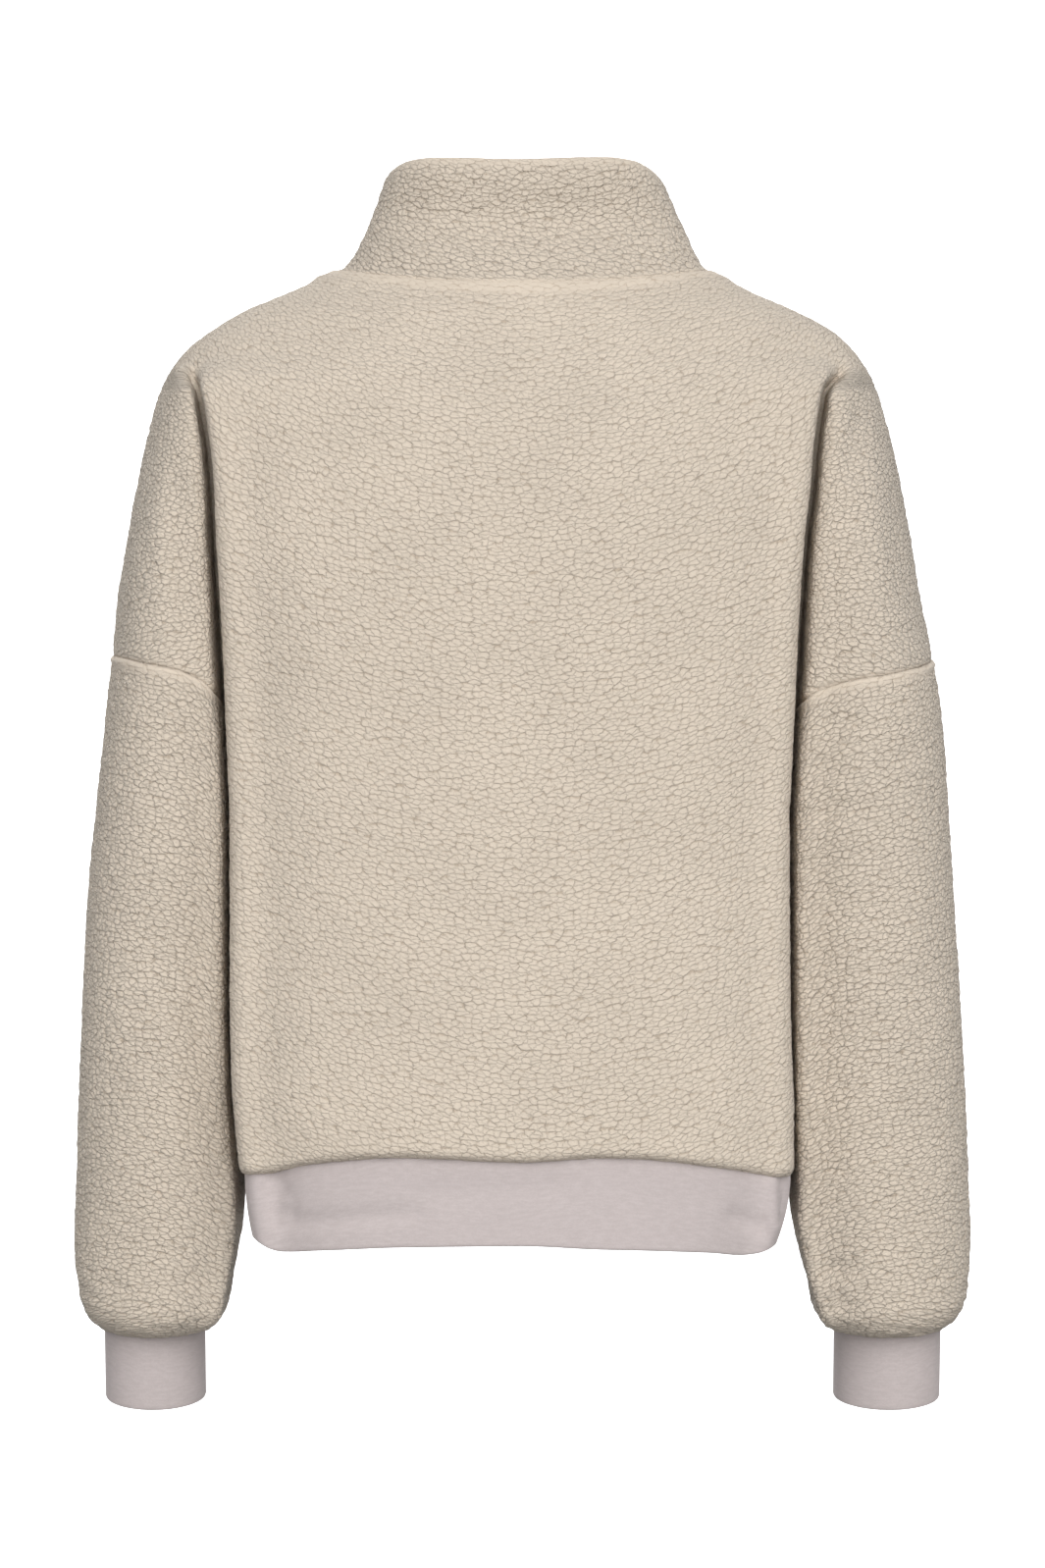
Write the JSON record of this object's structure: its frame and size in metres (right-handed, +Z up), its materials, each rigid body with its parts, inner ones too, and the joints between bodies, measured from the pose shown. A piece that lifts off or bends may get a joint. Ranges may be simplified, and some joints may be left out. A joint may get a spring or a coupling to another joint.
{
  "type": "sherpa fleece pullover",
  "caption": "Loose sherpa fleece pullover in its worn shape, hollow, with a stand collar, dropped shoulders, long sleeves hanging at the sides, and a fine-knit hem band and cuffs.",
  "frame": {"origin": "middle of the neck opening, at the height where the shoulder seams meet the collar: where the wearer's shoulders hold it up", "axes": "+Z up through the collar, the garment's front faces -Y and its back +Y, +X is the wearer's left side"},
  "size_m": [0.555, 0.2489, 0.7615],
  "materials": {
    "sherpa_fleece": "cream sherpa pile, curled and matt",
    "lilac_rib": "fine smooth knit, pale pinkish lilac, matt"
  },
  "bodies": {
    "root": {"back": "sherpa_fleece", "front": "sherpa_fleece", "sleeve_left": "sherpa_fleece", "sleeve_right": "sherpa_fleece", "collar": "sherpa_fleece", "hem_band": "lilac_rib", "cuff_left": "lilac_rib", "cuff_right": "lilac_rib"}
  },
  "joints": []
}
